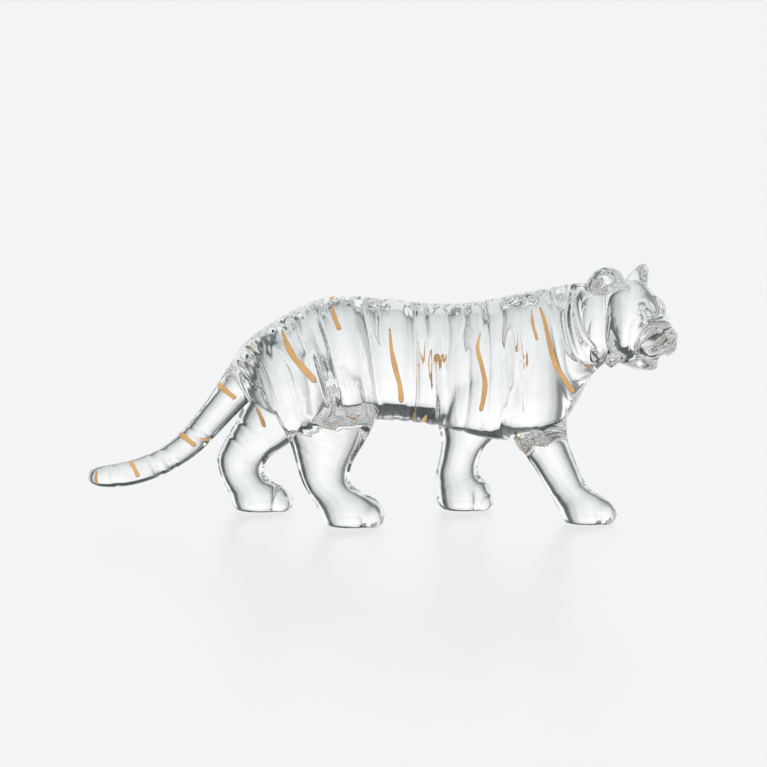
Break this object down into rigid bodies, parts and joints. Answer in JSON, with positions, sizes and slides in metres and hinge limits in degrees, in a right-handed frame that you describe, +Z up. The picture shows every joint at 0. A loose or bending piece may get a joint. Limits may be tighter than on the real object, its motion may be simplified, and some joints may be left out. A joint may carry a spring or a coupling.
{
  "type": "tiger figurine",
  "caption": "Walking tiger cast in clear glass, with shallow carved stripes, some of them gilded, standing on flat paws.",
  "frame": {"origin": "middle of the figurine's outline seen from above, at the height of its soles", "axes": "+X the way the tiger walks, +Y its left side (away from the viewer in the picture), +Z up"},
  "size_m": [0.3002, 0.0592, 0.1332],
  "materials": {
    "clear_glass": "polished clear cast glass",
    "gilding": "satin gold leaf"
  },
  "bodies": {
    "root": {"back_gilt": "gilding", "belly_gilt": "gilding", "crest_gilt": "gilding", "far_chevron_gilt": "gilding", "far_flank_gilt": "gilding", "far_neck_gilt": "gilding", "far_rump_gilt": "gilding", "far_shoulder_gilt": "gilding", "far_thigh_gilt": "gilding", "flank_gilt": "gilding", "haunch_gilt": "gilding", "hip_crest_gilt": "gilding", "hip_gilt": "gilding", "middle_gilt": "gilding", "nape_gilt": "gilding", "shoulder_fork_gilt": "gilding", "shoulder_gilt": "gilding", "tail_low_gilt": "gilding", "tail_middle_gilt": "gilding", "tail_root_gilt": "gilding", "tail_tip_gilt": "gilding", "tail_under_gilt": "gilding", "tiger_body": "clear_glass", "withers_gilt": "gilding"}
  },
  "joints": []
}
